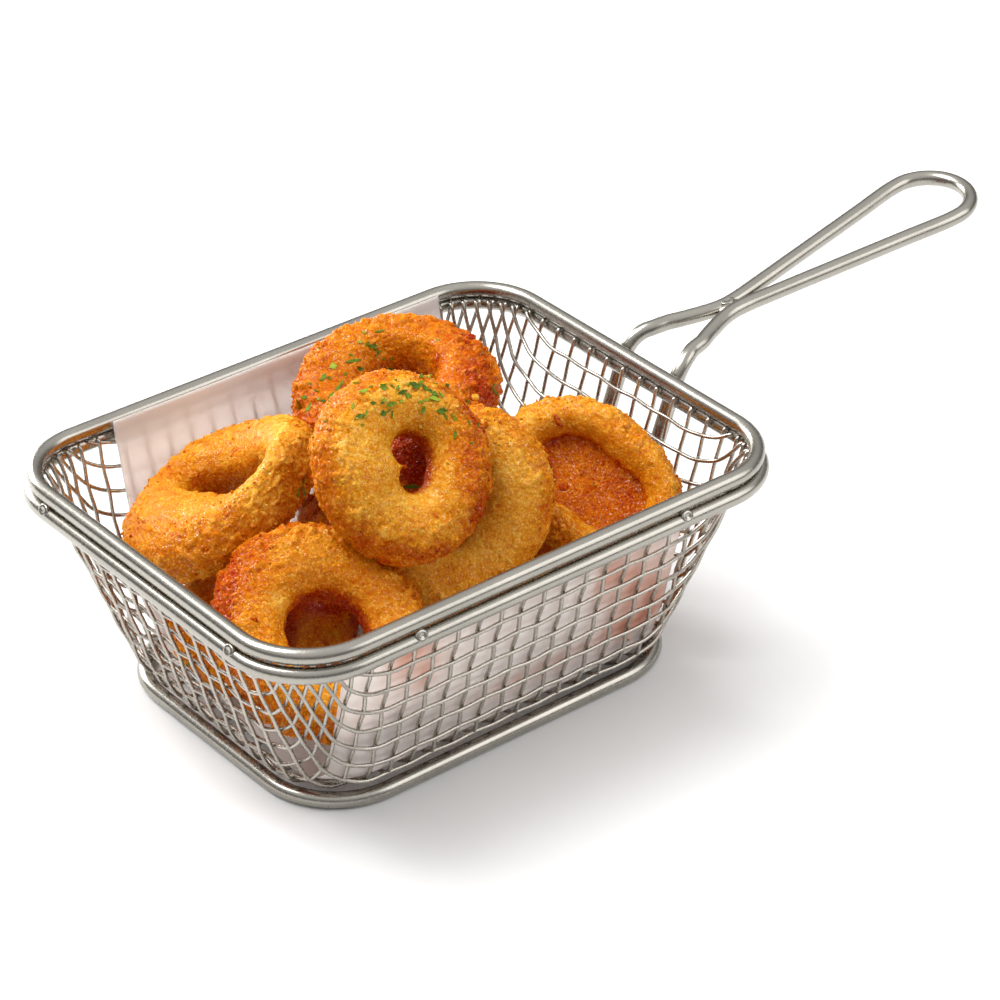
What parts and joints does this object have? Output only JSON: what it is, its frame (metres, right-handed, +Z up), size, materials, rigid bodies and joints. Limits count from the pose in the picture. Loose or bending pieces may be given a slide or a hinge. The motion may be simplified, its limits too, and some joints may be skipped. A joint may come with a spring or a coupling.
{
  "type": "onion rings in a fry basket",
  "caption": "Small woven wire fry basket with a long looped handle, lined with paper and filled with golden breaded onion rings and chopped parsley.",
  "frame": {"origin": "on the table, under the middle of the whole object's bounding box", "axes": "+X from the basket towards the handle's loop, +Y across the basket, away from the side with the low paper edge, +Z up"},
  "size_m": [0.2698, 0.123, 0.0872],
  "materials": {
    "steel_rod": "satin stainless rod",
    "woven_wire": "satin stainless wire, plain weave",
    "paper": "thin greaseproof paper, slightly see-through",
    "crust": "fried golden breadcrumb crust, slightly oily",
    "parsley": "chopped fresh herb"
  },
  "bodies": {
    "root": {"rim_rod": "steel_rod", "collar_rod": "steel_rod", "base_rod": "steel_rod", "handle": "steel_rod", "mesh_tub": "woven_wire", "paper_liner": "paper", "ring_front": "crust", "ring_back": "crust", "ring_left": "crust", "ring_corner": "crust", "ring_middle": "crust", "ring_cup": "crust", "ring_low_right": "crust", "ring_low_left": "crust", "ring_low_middle": "crust"}
  },
  "joints": []
}
